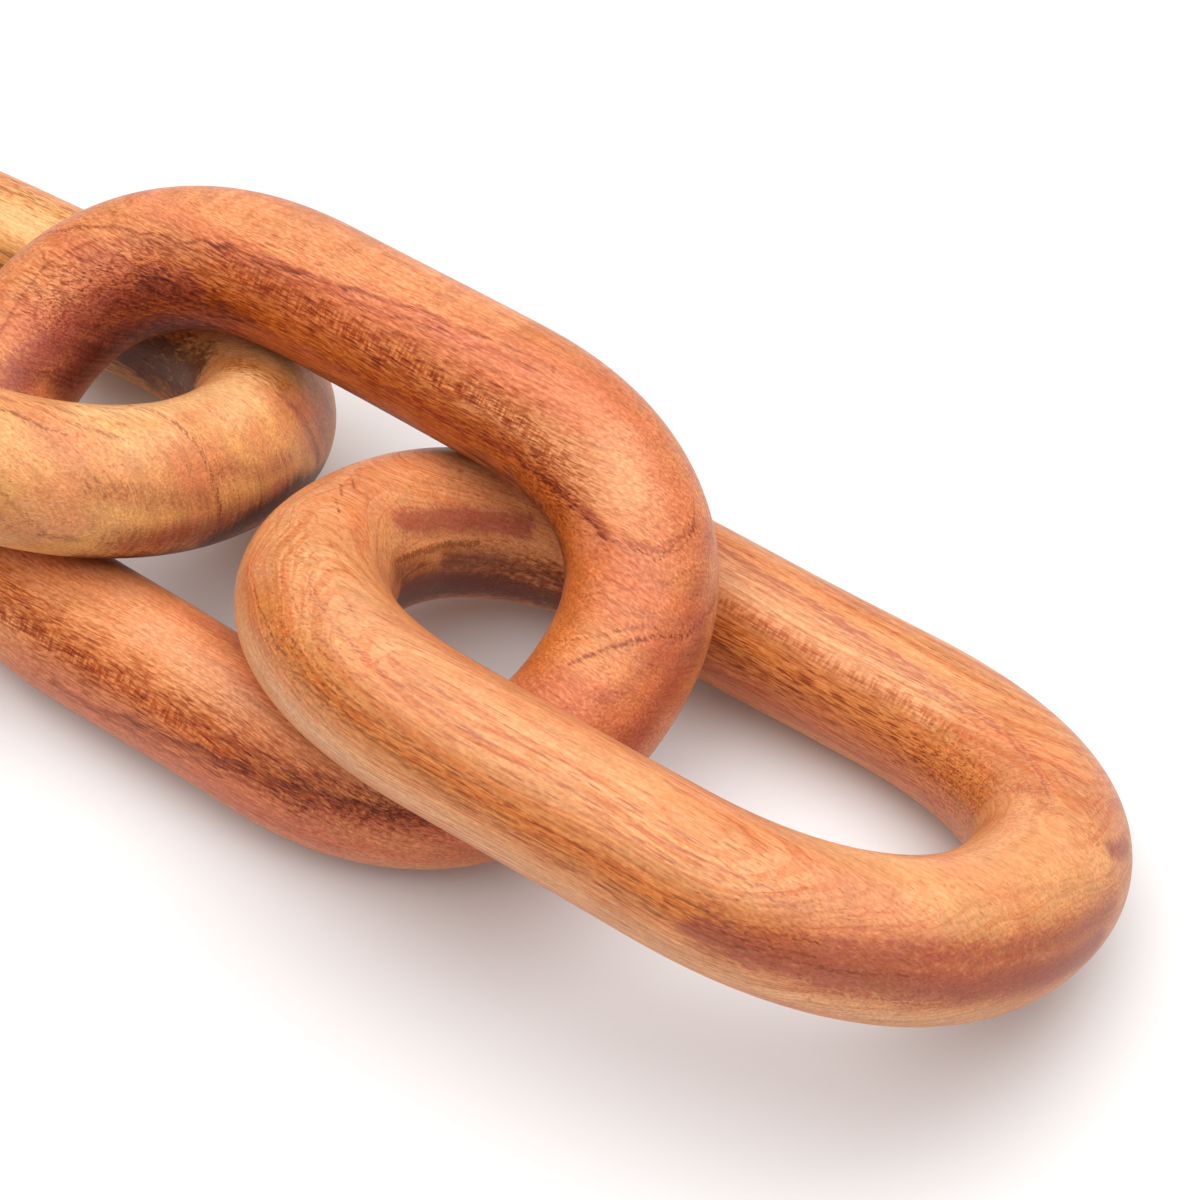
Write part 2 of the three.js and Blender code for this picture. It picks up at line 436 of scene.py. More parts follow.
MIDDLE_MARKS = (
    ("brown", 0.8, 0.75, ((30, 26), (22, 44), (20, 64), (21, 82), (24, 98), (29, 114), (36, 126), (50, 138))),
    ("red", 1.9, 0.8, ((26, 34), (21, 60), (22, 86), (28, 108), (36, 124), (50, 136), (66, 145))),
    ("red", 1.6, 0.6, ((32, 116), (44, 131), (70, 145), (100, 152))),
    ("purple", 3.0, 0.45, ((24, 100), (34, 122), (52, 138), (90, 152), (120, 158))),
    ("red", 1.1, 0.9, ((60, 66), (74, 73), (90, 80), (104, 90), (114, 97), (128, 102), (146, 101))),
    ("brown", 0.8, 0.7, ((104, 91), (114, 98), (126, 103), (142, 102))),
    ("brown", 0.7, 0.5, ((70, 72), (84, 78), (96, 84))),
    ("red", 0.9, 0.9, ((138, 102), (148, 99), (156, 89), (162, 75), (168, 56), (171, 44))),
    ("brown", 0.6, 0.6, ((146, 100), (156, 90), (163, 74), (168, 58))),
    ("red", 1.0, 0.7, ((62, 76), (80, 86), (98, 95), (112, 103), (132, 107))),
    ("red", 0.8, 0.6, ((72, 82), (90, 91), (106, 100), (124, 110), (146, 112))),
    ("purple", 4.0, 0.32, ((62, 74), (88, 86), (114, 101), (146, 106), (164, 102))),
    ("red", 0.8, 0.5, ((142, 92), (152, 82), (158, 68), (162, 54))),
    ("red", 0.9, 0.6, ((100, 80), (112, 84), (128, 86))),
    ("red", 1.0, 0.9, ((-2, 98), (4, 78), (7, 58), (12, 26), (18, 0))),
    ("brown", 0.7, 0.7, ((-2, 98), (4, 78), (7, 58), (12, 26))),
    ("brown", 0.8, 0.7, ((2, 138), (1, 118), (4, 96), (8, 70), (10, 50))),
    ("red", 0.8, 0.6, ((14, 134), (12, 112), (14, 90), (16, 62), (22, 22))),
    ("red", 0.8, 0.6, ((10, 134), (8, 112), (9, 90), (12, 62), (17, 22))),
    ("gold", 8.0, 0.8, ((-4, 130), (8, 124), (20, 134), (34, 150))),
    ("gold", 10.0, 1.0, ((28, 148), (60, 144), (100, 144), (140, 148), (160, 160))),
    ("gold", 6.0, 0.6, ((48, 122), (80, 120), (120, 120), (150, 124))),
    ("pores", 12.0, 1.0, ((38, 128), (70, 126), (110, 128), (150, 124), (176, 114))),
    ("fleck", 3.2, 1.0, ((48, 116), (76, 118), (104, 119), (130, 118))),
    ("fleck", 2.4, 0.7, ((86, 108), (110, 110), (130, 110))),
    ("pale", 4.0, 0.6, ((44, 112), (56, 118), (70, 120))),
    ("pale", 6.0, 0.6, ((32, 96), (40, 106), (52, 112))),
    ("pale", 7.0, 0.6, ((32, 84), (42, 70))),
    ("blush", 9.0, 0.8, ((-6, 20), (4, 30), (14, 20))),
    ("purple", 6.0, 0.35, ((-8, 30), (4, 10))),
    ("plain", 9.0, 0.8, ((34, 86), (46, 72), (60, 50), (90, 44), (130, 50), (146, 60))),
    ("ripple", 15.0, 1.0, ((72, 40), (100, 50), (130, 56), (150, 60))),
    ("blush", 12.0, 0.45, ((44, 46), (70, 40), (110, 44), (150, 50))),
    # Pale wood and a painted highlight along the top right of the far rod.
    ("pale", 8.0, 0.6, ((76, 40), (110, 44), (150, 56))),
    ("smoke", 3.4, 0.65, ((143, 142), (147, 135), (154, 136))),
    ("smoke", 7.0, 0.55, ((124, 154), (148, 150), (164, 154), (178, 160))),
    # Painted shade with some smoky wood along the underside and hole side of the far rod, where the front
    # link passes.
    ("smoke", 13.0, 0.72, ((30, 186), (80, 200), (130, 198), (164, 184), (188, 172))),
    ("smoke", 5.0, 0.65, ((20, 158), (34, 164), (50, 170), (70, 172))),
    ("purple", 8.0, 0.9, ((140, 142), (156, 142), (172, 143), (186, 138), (198, 128))),
    ("purple", 9.0, 0.75, ((130, 170), (150, 174), (186, 162))),
    ("smoke", 5.0, 0.35, ((176, 150), (186, 142), (192, 134))),
    ("red", 1.0, 0.6, ((150, 122), (166, 130), (178, 122))),
    ("red", 1.0, 0.8, ((160, 90), (172, 90), (182, 97), (192, 100))),
    ("pale", 3.0, 0.6, ((176, 88), (186, 90))),
    ("red", 2.0, 1.0, ((262, 28), (276, 34), (290, 44), (304, 54), (318, 59), (340, 54))),
    ("red", 1.6, 0.8, ((274, 26), (292, 36), (306, 46), (322, 51), (340, 46))),
    ("brown", 1.2, 0.9, ((278, 38), (294, 50), (308, 59), (322, 62), (340, 57))),
    ("brown", 0.9, 0.7, ((296, 47), (310, 53), (326, 55), (340, 50))),
    ("red", 1.4, 0.8, ((292, 66), (308, 72), (324, 73), (336, 66))),
    ("smoke", 3.5, 0.40, ((306, 64), (322, 66), (340, 56))),
    ("gold", 7.0, 0.6, ((290, 62), (320, 62), (344, 50))),
    ("purple", 6.0, 0.4, ((318, 46), (332, 50), (346, 44))),
    ("blush", 8.0, 0.7, ((256, 16), (290, 16), (330, 24), (344, 30))),
    ("fleck", 3.0, 1.0, ((246, 62), (270, 64), (294, 64))),
    ("fleck", 2.6, 0.6, ((294, 56), (314, 50), (330, 48))),
    ("gold", 6.0, 0.6, ((238, 84), (254, 72), (278, 64), (300, 62))),
    ("pores", 9.0, 0.9, ((240, 72), (268, 64), (300, 66), (340, 58))),
    ("pale", 8.0, 0.6, ((268, 122), (282, 112), (300, 96))),
    ("plain", 9.0, 0.9, ((258, 136), (276, 124), (292, 112))),
    ("pale", 5.0, 0.35, ((256, 14), (290, 4), (330, 2))),
    # Painted shadow on the near rod beside the back link.
    ("smoke", 9.0, 0.8, ((240, 146), (250, 152), (256, 166))),
    ("purple", 7.0, 0.55, ((360, 30), (372, 20), (386, 14))),
    ("purple", 4.0, 0.4, ((-4, 60), (8, 40), (26, 14))),
)

BACK_MARKS = (
    ("brown", 0.9, 0.8, ((366, -44), (365, -10), (364, 20), (362, 50), (360, 74), (357, 98), (353, 116))),
    ("red", 3.0, 0.45, ((369, -44), (367, -10), (366, 20), (364, 48), (362, 80))),
    ("red", 0.9, 0.6, ((376, 124), (377, 90), (377, 60), (376, 20), (377, -10))),
    ("red", 0.9, 0.5, ((382, 120), (384, 92), (384, 60))),
    ("brown", 0.9, 0.9, ((329, 76), (334, 70), (342, 60))),
    ("red", 1.0, 0.8, ((328, 90), (336, 84), (343, 74), (350, 62))),
    ("red", 1.0, 0.7, ((330, 98), (339, 92), (346, 82), (352, 70))),
    ("red", 1.0, 0.6, ((336, 104), (346, 96), (352, 84))),
    ("red", 0.9, 0.5, ((344, 106), (352, 96), (356, 86))),
    ("red", 1.4, 0.7, ((328, 40), (332, 20), (335, 2), (340, -18))),
    ("red", 1.0, 0.6, ((324, 40), (329, 18), (333, -2), (336, -22), (340, -44))),
    ("smoke", 1.8, 0.5, ((340, -22), (345, -24))),
    ("gold", 6.0, 0.5, ((326, 30), (332, -2), (340, -34))),
    ("blush", 10.0, 0.6, ((336, 54), (346, 40), (356, 30), (364, 34))),
    ("purple", 6.0, 0.45, ((346, 22), (354, 16), (362, 12))),
    ("purple", 5.0, 0.5, ((366, 30), (372, 20), (378, 24))),
    ("purple", 8.0, 0.7, ((352, -24), (364, -16), (376, -4))),
    # Painted shade with dark wood on the downward faces of the bend, beside the middle link.
    ("smoke", 7.0, 1.0, ((366, -36), (372, -20), (382, -10), (390, -18))),
    ("smoke", 9.0, 0.9, ((348, -60), (370, -52), (390, -46))),
    ("purple", 2.2, 0.55, ((9, 66), (9, 46), (10, 24), (12, 4))),
    ("blush", 8.0, 0.8, ((10, 60), (12, 40), (16, 20), (20, 40))),
    ("pale", 7.0, 0.8, ((344, 92), (364, 102), (378, 102), (386, 96))),
    ("pale", 7.0, 0.9, ((372, 74), (379, 80), (380, 104))),
    ("pale", 5.0, 0.5, ((352, 60), (358, 66))),
    # Painted shade on the hole side of the far rod, under the middle link.
    ("smoke", 15.0, 1.0, ((36, 168), (50, 182), (76, 190), (110, 194))),
    ("gold", 4.5, 0.9, ((12, 72), (14, 92), (17, 112), (26, 140))),
    ("pores", 6.0, 1.0, ((12, 78), (13, 100), (18, 120))),
    ("red", 0.8, 0.6, ((92, 118), (104, 116), (122, 110))),
    ("red", 1.0, 0.8, ((90, 104), (104, 101), (122, 96))),
    ("red", 0.8, 0.6, ((88, 90), (104, 92), (126, 86))),
    ("pale", 8.0, 0.7, ((86, 124), (110, 122), (140, 116))),
    ("gold", 6.0, 0.8, ((88, 164), (110, 160), (140, 154))),
    ("pores", 7.0, 0.8, ((90, 94), (104, 96), (130, 92))),
    ("brown", 0.9, 0.6, ((150, 100), (180, 92), (214, 88), (238, 96))),
    ("red", 1.2, 0.6, ((236, 40), (262, 30), (292, 34), (318, 46))),
    ("purple", 4.0, 0.45, ((170, 40), (190, 30), (214, 34))),
    ("gold", 7.0, 0.6, ((236, 60), (270, 54), (304, 60))),
)


# Shader helpers

def socket_in(tree, target, value):
    """Give an input a plain value, or wire an output into it."""
    if isinstance(value, bpy.types.NodeSocket):
        tree.links.new(value, target)
    else:
        target.default_value = value


def number(tree, operation, first, second=0.0, clamp=False):
    """One step of arithmetic."""
    step = tree.nodes.new("ShaderNodeMath")
    step.operation = operation
    step.use_clamp = clamp
    socket_in(tree, step.inputs[0], first)
    socket_in(tree, step.inputs[1], second)
    return step.outputs[0]


def vector_step(tree, operation, first, second):
    """One step of vector arithmetic."""
    step = tree.nodes.new("ShaderNodeVectorMath")
    step.operation = operation
    socket_in(tree, step.inputs[0], first)
    socket_in(tree, step.inputs[1], second)
    return step.outputs[0]


def parts_of(tree, vector):
    """The three parts of a vector."""
    return tuple(separate(tree, vector).outputs)


def separate(tree, vector):
    """A Separate XYZ node on a vector."""
    step = tree.nodes.new("ShaderNodeSeparateXYZ")
    socket_in(tree, step.inputs[0], vector)
    return step


def noise(tree, where, stretch, detail=2.0, rough=0.5, colour=False):
    """Noise whose blobs are about as long, in mm, as stretch says in each direction."""
    scaled = vector_step(tree, "MULTIPLY", where, tuple(1.0 / side for side in stretch))
    step = tree.nodes.new("ShaderNodeTexNoise")
    step.inputs["Scale"].default_value = 1.0
    step.inputs["Detail"].default_value = detail
    step.inputs["Roughness"].default_value = rough
    socket_in(tree, step.inputs["Vector"], scaled)
    return step.outputs["Color"] if colour else step.outputs["Fac"]


def ease(tree, value, low, high, to_low=0.0, to_high=1.0):
    """Smooth step from one value to another while the input goes from low to high."""
    step = tree.nodes.new("ShaderNodeMapRange")
    step.interpolation_type = "SMOOTHSTEP"
    socket_in(tree, step.inputs["Value"], value)
    step.inputs["From Min"].default_value = low
    step.inputs["From Max"].default_value = high
    step.inputs["To Min"].default_value = to_low
    step.inputs["To Max"].default_value = to_high
    return step.outputs["Result"]


def blend(tree, amount, low, high, how="MIX"):
    """Mix two colours."""
    step = tree.nodes.new("ShaderNodeMix")
    step.data_type = "RGBA"
    step.blend_type = how
    step.clamp_factor = True
    socket_in(tree, step.inputs[0], amount)
    socket_in(tree, step.inputs[6], low if isinstance(low, bpy.types.NodeSocket) else (*low, 1.0))
    socket_in(tree, step.inputs[7], high if isinstance(high, bpy.types.NodeSocket) else (*high, 1.0))
    return step.outputs[2]


def shade(tree, colour, factor):
    """Lighten or darken a colour by a factor around 1."""
    grey = tree.nodes.new("ShaderNodeCombineXYZ")
    for part in range(3):
        socket_in(tree, grey.inputs[part], factor)
    return vector_step(tree, "MULTIPLY", colour, grey.outputs[0])


def deepen(tree, colour, amount, tint):
    """Move a colour towards itself times a tint."""
    return blend(tree, amount, colour, vector_step(tree, "MULTIPLY", colour, tint))


def field(tree, name):
    """The three marks that a vertex attribute carries."""
    step = tree.nodes.new("ShaderNodeAttribute")
    step.attribute_type = "GEOMETRY"
    step.attribute_name = name
    return parts_of(tree, step.outputs["Vector"])


# The wood

def growth_axes(tree, link, place):
    """Way along the fibre, ring depth and way round the ring, in mm, with the slow wander of real grain.

    Formula: the point is turned into the link's own axes, pushed about by two slow noises, and its
    distance and angle are taken from a pith line that runs along the link's fibre.
    """
    where = tree.nodes.new("ShaderNodeTexCoord").outputs["Object"]
    own = tree.nodes.new("ShaderNodeMapping")
    own.vector_type = "TEXTURE"
    own.inputs["Location"].default_value = place
    own.inputs["Rotation"].default_value = (link.tilt, link.pitch, link.yaw)
    own.inputs["Scale"].default_value = (MM, MM, MM)
    tree.links.new(where, own.inputs["Vector"])
    point = own.outputs["Vector"]
    broad = vector_step(tree, "SUBTRACT", noise(tree, point, (70, 24, 24), 1.0, colour=True), (0.5,) * 3)
    broad = vector_step(tree, "MULTIPLY", broad, (0.0, 7.0, 7.0))
    close = vector_step(tree, "SUBTRACT", noise(tree, point, (13, 6, 6), 2.0, colour=True), (0.5,) * 3)
    sway = link.tremble / MM
    close = vector_step(tree, "MULTIPLY", close, (0.0, sway, sway))
    wandering = vector_step(tree, "ADD", vector_step(tree, "ADD", point, broad), close)
    x, y, z = parts_of(tree, wandering)
    reach = link.pith_distance / MM
    y = number(tree, "ADD", y, reach * math.cos(link.pith_angle))
    z = number(tree, "ADD", z, reach * math.sin(link.pith_angle))
    depth = number(tree, "SQRT", number(tree, "ADD", number(tree, "POWER", y, 2.0),
                                        number(tree, "POWER", z, 2.0)))
    depth = number(tree, "SUBTRACT", depth, reach)
    across = number(tree, "MULTIPLY", number(tree, "ARCTAN2", z, y), reach)
    axes = tree.nodes.new("ShaderNodeCombineXYZ")
    for part, value in enumerate((x, depth, across)):
        tree.links.new(value, axes.inputs[part])
    return axes.outputs[0]


def carved_wood(name, link, finish, place):
    """Oiled hardwood with growth rings, open pores, ray flecks, ripple and coloured streaks."""
    material = bpy.data.materials.new(name)
    material.use_nodes = True
    tree = material.node_tree
    skin = tree.nodes["Principled BSDF"]
    grain = growth_axes(tree, link, place)
    mark = {}
    for title, kinds in MARK_GROUPS:
        mark.update(zip(kinds, field(tree, title)))

    silk = noise(tree, grain, (22, 0.9, 0.9), 3.0, 0.6)
    jag = noise(tree, grain, (5.0, 0.42, 0.42), 2.0, 0.6)
    weave = noise(tree, grain, (3.2, 0.5, 0.5), 2.0, 0.62)
    clouds = noise(tree, grain, (60, 11, 14), 2.0, 0.55)
    mottle = noise(tree, grain, (7, 3.0, 3.0), 3.0, 0.6)
    across = number(tree, "MULTIPLY", mark["cut"], mark["cut"])
    solid = number(tree, "SUBTRACT", 1.0, number(tree, "MULTIPLY", mark["pores"], 0.8))
    lengthwise = number(tree, "MULTIPLY", number(tree, "MULTIPLY", across, 0.75), solid)
    lengthwise = number(tree, "SUBTRACT", 1.0, lengthwise)

    colour = blend(tree, ease(tree, clouds, 0.38, 0.64), tuple(link.honey), tuple(link.rose))
    colour = blend(tree, number(tree, "MULTIPLY", mark["gold"], 0.9), colour, tuple(link.gold))
    # Pale wood, and painted sheen and painted reflection where the pale strokes lie on tops and lower edges.
    colour = blend(tree, number(tree, "MULTIPLY", mark["pale"], 0.8), colour, tuple(link.pale))
    colour = deepen(tree, colour, mark["blush"], (0.88, 0.68, 0.72))

    # Growth rings: broad shades and thin lines, both read from the ring depth.
    rings = noise(tree, grain, (160, 2.6, 18), 3.0, 0.62)
    colour = shade(tree, colour, ease(tree, rings, 0.34, 0.66, 0.92, 1.06))
    edge = number(tree, "ABSOLUTE", number(tree, "SUBTRACT", rings, 0.52))
    line = ease(tree, edge, 0.0, 0.022, 1.0, 0.0)
    line = number(tree, "MULTIPLY", line, ease(tree, mottle, 0.35, 0.65, 0.35, 0.9))
    drawn = number(tree, "SUBTRACT", 1.0, number(tree, "MULTIPLY", mark["plain"], 0.85))
    line = number(tree, "MULTIPLY", line, number(tree, "MULTIPLY", drawn, 0.25 + 0.75 * link.ring_lines))
    colour = deepen(tree, colour, line, (0.78, 0.56, 0.44))
    years = noise(tree, grain, (200, 0.55, 30), 2.0, 0.5)
    thread = number(tree, "MULTIPLY", ease(tree, years, 0.42, 0.50, 1.0, 0.0), ease(tree, silk, 0.36, 0.54))
    thread = number(tree, "MULTIPLY", thread, number(tree, "MULTIPLY", drawn, link.ring_lines))
    colour = deepen(tree, colour, thread, (0.86, 0.66, 0.55))

    # Painted streaks: soft purple, dark smoky wood that also serves as painted shade, and jagged thin lines
    # that break up along the fibre.
    drift = number(tree, "MULTIPLY", number(tree, "SUBTRACT", silk, 0.5), 1.8)
    fray = number(tree, "MULTIPLY", number(tree, "SUBTRACT", jag, 0.5), 1.0)
    both = number(tree, "MULTIPLY", number(tree, "ADD", drift, fray), lengthwise)
    both = number(tree, "ADD", both, number(tree, "MULTIPLY", number(tree, "SUBTRACT", years, 0.5), 0.6))
    stain = ease(tree, number(tree, "ADD", mark["purple"], both), 0.12, 0.85)
    stain = number(tree, "MULTIPLY", stain, ease(tree, mark["purple"], 0.0, 0.25))
    colour = blend(tree, number(tree, "MULTIPLY", stain, 0.8), colour, tuple(link.purple))
    # Dark patches: smoky wood, and painted shade in hollows, on undersides and under the neighbouring links.
    smoke_and_shade_mask = ease(tree, number(tree, "ADD", mark["smoke"], both), 0.12, 0.95)
    smoke_and_shade_mask = number(tree, "MULTIPLY", smoke_and_shade_mask, ease(tree, mark["smoke"], 0.0, 0.2))
    colour = blend(tree, number(tree, "MULTIPLY", smoke_and_shade_mask, 0.86), colour, tuple(link.smoke))
    tear = number(tree, "MULTIPLY", number(tree, "SUBTRACT", jag, 0.5), 2.0)
    for kind, ink, most in (("red", link.red, 0.62), ("brown", link.brown, 0.66)):
        thin = ease(tree, number(tree, "ADD", mark[kind], tear), 0.34, 0.86)
        thin = number(tree, "MULTIPLY", thin, ease(tree, mark[kind], 0.02, 0.3))
        colour = blend(tree, number(tree, "MULTIPLY", thin, most), colour, tuple(ink))

    # Silky light and dark along the fibre, and the ripple that crosses it.
    colour = shade(tree, colour, ease(tree, silk, 0.30, 0.70, 0.90, 1.08))
    bars = noise(tree, grain, (4.2, 44, 44), 1.0, 0.5)
    lift = number(tree, "MULTIPLY", ease(tree, bars, 0.40, 0.64, -0.05, 0.14), mark["ripple"])
    colour = shade(tree, colour, number(tree, "ADD", lift, 1.0))
    colour = shade(tree, colour, ease(tree, mottle, 0.3, 0.7, 0.95, 1.05))

    # Short dark threads everywhere, strongest in the porous wood and faint in the plain wood.
    body = number(tree, "ADD", number(tree, "MULTIPLY", mark["pores"], 0.70), 0.34)
    body = number(tree, "SUBTRACT", body, number(tree, "MULTIPLY", mark["plain"], 0.22))
    knit = number(tree, "MULTIPLY", ease(tree, weave, 0.38, 0.56, 1.0, 0.0), body)
    knit = number(tree, "MULTIPLY", knit, link.stipple, clamp=True)
    colour = deepen(tree, colour, knit, (0.64, 0.42, 0.28))
    grainy = noise(tree, grain, (1.15, 0.42, 0.42), 1.0, 0.5)
    speck = number(tree, "MULTIPLY", ease(tree, grainy, 0.40, 0.60, 1.0, 0.0), 0.55 * link.stipple)
    colour = deepen(tree, colour, speck, (0.84, 0.68, 0.54))
    bright = number(tree, "MULTIPLY", ease(tree, grainy, 0.52, 0.70), 0.35 * link.stipple)
    colour = deepen(tree, colour, bright, (1.10, 1.16, 1.25))

    # Ray flecks: short bars across the fibre where the wood is cut on the quarter.
    rays = noise(tree, grain, (0.68, 3.6, 0.9), 1.5, 0.5)
    rung = number(tree, "MULTIPLY", ease(tree, rays, 0.47, 0.56), mark["fleck"])
    colour = deepen(tree, colour, number(tree, "MULTIPLY", rung, 0.9), (0.72, 0.47, 0.32))
    gap = number(tree, "MULTIPLY", ease(tree, rays, 0.36, 0.47, 1.0, 0.0), mark["fleck"])
    colour = deepen(tree, colour, number(tree, "MULTIPLY", gap, 0.6), (1.14, 1.30, 1.45))

    # Open pores: thin lines in the plain wood, short dark dashes in the porous wood, dots on cut ends.
    vessels = noise(tree, grain, (15, 0.34, 0.34), 1.0, 0.5)
    slit = number(tree, "MULTIPLY", ease(tree, vessels, 0.59, 0.68), lengthwise)
    colour = deepen(tree, colour, number(tree, "MULTIPLY", slit, 0.6), (0.74, 0.50, 0.40))
    dashes = noise(tree, grain, (4.2, 0.38, 0.38), 1.0, 0.5)
    dense = number(tree, "MULTIPLY", mark["pores"], 0.085)
    dense = number(tree, "SUBTRACT", dense, number(tree, "MULTIPLY", mark["plain"], 0.06))
    dense = number(tree, "ADD", dense, number(tree, "MULTIPLY", number(tree, "SUBTRACT", rings, 0.5), 0.25))
    pore = ease(tree, number(tree, "ADD", dashes, dense), 0.64, 0.72)
    pore = number(tree, "MULTIPLY", pore, lengthwise)
    colour = deepen(tree, colour, number(tree, "MULTIPLY", pore, 0.42), (0.62, 0.36, 0.26))
    deep = number(tree, "MULTIPLY", pore, number(tree, "MULTIPLY", mark["pores"], 0.8))
    colour = deepen(tree, colour, deep, (0.50, 0.30, 0.22))

    # Wood cut across the fibre drinks more oil and looks deeper.
    colour = deepen(tree, colour, number(tree, "MULTIPLY", across, 0.5), (0.92, 0.84, 0.78))
    tree.links.new(colour, skin.inputs["Base Color"])
    skin.inputs["Specular IOR Level"].default_value = finish.gloss

    rough = number(tree, "ADD", finish.sheen_roughness - 0.05, number(tree, "MULTIPLY", mottle, 0.1))
    rough = number(tree, "ADD", rough, number(tree, "MULTIPLY", pore, 0.2), clamp=True)
    tree.links.new(rough, skin.inputs["Roughness"])
    height = number(tree, "SUBTRACT", number(tree, "MULTIPLY", silk, 0.5), pore)
    bump = tree.nodes.new("ShaderNodeBump")
    bump.inputs["Strength"].default_value = 0.35
    bump.inputs["Distance"].default_value = finish.pore_depth
    tree.links.new(height, bump.inputs["Height"])
    tree.links.new(bump.outputs["Normal"], skin.inputs["Normal"])
    return material


# Making the pieces

def put_on_floor(points, link, finish, node):
    """Turn a link into its place: over its CAD solid, lowered until its flat rests on the floor."""
    turn = Euler((link.tilt, link.pitch, link.yaw), "XYZ").to_matrix()
    placed = points @ np.array(turn).T
    low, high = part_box(node)
    shift = np.zeros(3)
    for side in (0, 1):
        middle = 0.5 * (placed[..., side].min() + placed[..., side].max())
        shift[side] = 0.5 * (low[side] + high[side]) - middle
    shift[2] = -placed[..., 2].min() - finish.rest_flat
    placed = placed + shift
    placed[..., 2] = np.maximum(placed[..., 2], 0.0)
    return placed, tuple(float(part) for part in shift)


def make_link(name, node, link, strokes, seed):
    """Build one link, give it its wood and say what it stands for."""
    finish = bpy.context.scene.wooden_chain.finish
    along, length, degrees, points, normals = link_surface(link, finish, seed)
    placed, shift = put_on_floor(points, link, finish, node)
    faces = closed_grid_faces(finish.steps_along, finish.steps_around)
    mesh = bpy.data.meshes.new(name)
    mesh.from_pydata(placed.reshape(-1, 3).tolist(), [], faces.tolist())
    mesh.polygons.foreach_set("use_smooth", np.ones(len(faces), dtype=bool))
    marks = paint_marks(along, length, degrees, strokes, link.tremble / MM, seed)
    marks["cut"] = np.abs(normals[..., 0])
    for title, kinds in MARK_GROUPS:
        layer = mesh.attributes.new(title, "FLOAT_VECTOR", "POINT")
        layer.data.foreach_set("vector", np.stack([marks[k] for k in kinds], axis=-1).ravel())
    mesh.update()
    piece = bpy.data.objects.new(name, mesh)
    bpy.context.scene.collection.objects.link(piece)
    mesh.materials.append(carved_wood(name + "_wood", link, finish, shift))
    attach(piece, "root")
    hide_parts(node)
    return piece


class MakeFrontLink(bpy.types.Operator):
    """Add the front link: honey-coloured, with nested growth lines and a dark streaked band."""

    bl_idname = "chain.make_front_link"
    bl_label = "Front link"

    def execute(self, context):
        make_link("front_link", "link_front", context.scene.wooden_chain.front, FRONT_MARKS, 11)
        return {"FINISHED"}


class MakeMiddleLink(bpy.types.Operator):
    """Add the middle link: red brown, rippled on top, with dark patches."""

    bl_idname = "chain.make_middle_link"
    bl_label = "Middle link"

    def execute(self, context):
        make_link("middle_link", "link_middle", context.scene.wooden_chain.middle,
                  MIDDLE_MARKS, 12)
        return {"FINISHED"}


class MakeBackLink(bpy.types.Operator):
    """Add the back link: pale yellow tan, with brown ring lines across its bend."""

    bl_idname = "chain.make_back_link"
    bl_label = "Back link"

    def execute(self, context):
        make_link("back_link", "link_back", context.scene.wooden_chain.back, BACK_MARKS, 13)
        return {"FINISHED"}


# Stage

CAMERA_TARGET = Vector((52.63 * MM, 27.38 * MM, 14.0 * MM))


def pale_floor(settings):
    """A large pale floor with a little light of its own, as on a light table."""
    half = 0.5 * settings.floor_size
    drop = -0.05 * MM
    corners = [(-half, -half, drop), (half, -half, drop), (half, half, drop), (-half, half, drop)]
    mesh = bpy.data.meshes.new("floor")
    mesh.from_pydata(corners, [], [(0, 1, 2, 3)])
    floor = bpy.data.objects.new("floor", mesh)
    bpy.context.scene.collection.objects.link(floor)
    material = bpy.data.materials.new("pale_floor")
    material.use_nodes = True
    skin = material.node_tree.nodes["Principled BSDF"]
    skin.inputs["Base Color"].default_value = (*settings.floor_colour, 1.0)
    skin.inputs["Roughness"].default_value = 0.6
    skin.inputs["Emission Color"].default_value = (1.0, 1.0, 1.0, 1.0)
    skin.inputs["Emission Strength"].default_value = settings.floor_glow
    mesh.materials.append(material)


def soft_light(name, place, aim, side, power):
    """A square area light at a place, facing a point."""
    lamp = bpy.data.lights.new(name, "AREA")
    lamp.shape = "SQUARE"
    lamp.size = side
    lamp.energy = power
    holder = bpy.data.objects.new(name, lamp)
    holder.location = place
    holder.rotation_euler = (Vector(aim) - Vector(place)).to_track_quat("-Z", "Y").to_euler()
    bpy.context.scene.collection.objects.link(holder)


def photo_camera(settings):
    """A camera on a sphere round its target, with a small roll."""
    azimuth, elevation = settings.camera_azimuth, settings.camera_elevation
    back = Vector((
        math.sin(azimuth) * math.cos(elevation),
        -math.cos(azimuth) * math.cos(elevation),
        math.sin(elevation),
    ))
    level = Vector((0.0, 0.0, 1.0)).cross(back).normalized()
    rise = back.cross(level)
    roll = settings.camera_roll
    right = math.cos(roll) * level + math.sin(roll) * rise
    top = -math.sin(roll) * level + math.cos(roll) * rise
    camera = bpy.data.cameras.new("camera")
    camera.sensor_width = 36.0
    camera.lens = settings.camera_lens
    camera.clip_start = 0.01
    camera.clip_end = 50.0
    holder = bpy.data.objects.new("camera", camera)
    place = CAMERA_TARGET + back * settings.camera_distance
    turn = Matrix((right, top, back)).transposed().to_4x4()
    holder.matrix_world = Matrix.Translation(place) @ turn
    bpy.context.scene.collection.objects.link(holder)
    bpy.context.scene.camera = holder


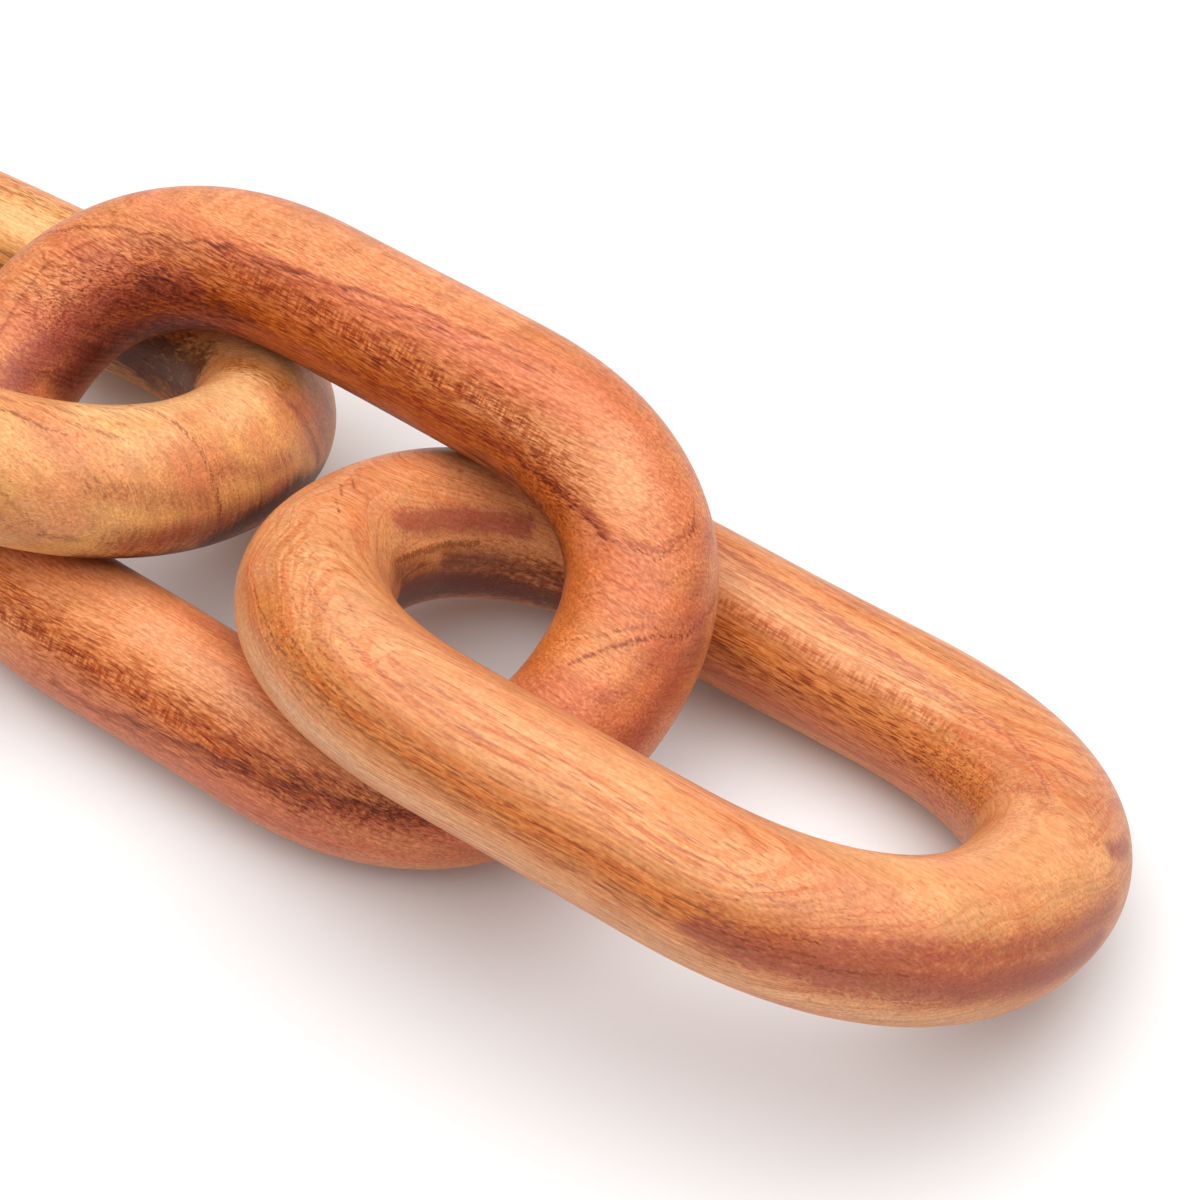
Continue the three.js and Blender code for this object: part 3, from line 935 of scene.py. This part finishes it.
class MakeStage(bpy.types.Operator):
    """Add the pale floor, the soft lights and the camera."""

    bl_idname = "chain.make_stage"
    bl_label = "Stage"

    def execute(self, context):
        settings = context.scene.wooden_chain.stage
        pale_floor(settings)
        soft_light("overhead_light", (0.10, 0.12, 1.20), (0.0, 0.0, 0.03), 1.8, settings.overhead_power)
        soft_light("front_light", (-0.15, -0.95, 0.85), (0.0, 0.0, 0.03), 0.9, settings.front_power)
        world = bpy.data.worlds.new("studio")
        world.use_nodes = True
        sky = world.node_tree.nodes["Background"]
        sky.inputs["Color"].default_value = (1.0, 1.0, 1.0, 1.0)
        sky.inputs["Strength"].default_value = settings.room_light
        context.scene.world = world
        context.scene.view_settings.view_transform = "Standard"
        photo_camera(settings)
        return {"FINISHED"}


class ChainPanel(bpy.types.Panel):
    """Sidebar panel with the chain's settings and a button for each part."""

    bl_idname = "VIEW3D_PT_wooden_chain"
    bl_label = "Wooden chain"
    bl_space_type = "VIEW_3D"
    bl_region_type = "UI"
    bl_category = "Chain"

    def draw(self, context):
        chain = context.scene.wooden_chain
        groups = (
            (MakeFrontLink, chain.front), (MakeMiddleLink, chain.middle), (MakeBackLink, chain.back),
            (MakeStage, chain.stage), (None, chain.finish),
        )
        for maker, settings in groups:
            box = self.layout.box()
            if maker:
                box.operator(maker.bl_idname)
            for name in settings.__annotations__:
                box.prop(settings, name)


CLASSES = (
    FrontLinkSettings, MiddleLinkSettings, BackLinkSettings, FinishSettings, StageSettings,
    ChainSettings, MakeFrontLink, MakeMiddleLink, MakeBackLink, MakeStage, ChainPanel,
)


def register():
    """Register the classes and hang the settings on the scene."""
    for each in CLASSES:
        bpy.utils.register_class(each)
    bpy.types.Scene.wooden_chain = bpy.props.PointerProperty(type=ChainSettings)


def unregister():
    """Take the settings and the classes away again."""
    del bpy.types.Scene.wooden_chain
    for each in reversed(CLASSES):
        bpy.utils.unregister_class(each)


def main():
    """Build everything in order."""
    register()
    bpy.ops.chain.make_front_link()
    bpy.ops.chain.make_middle_link()
    bpy.ops.chain.make_back_link()
    bpy.ops.chain.make_stage()


if __name__ == "__main__":
    main()
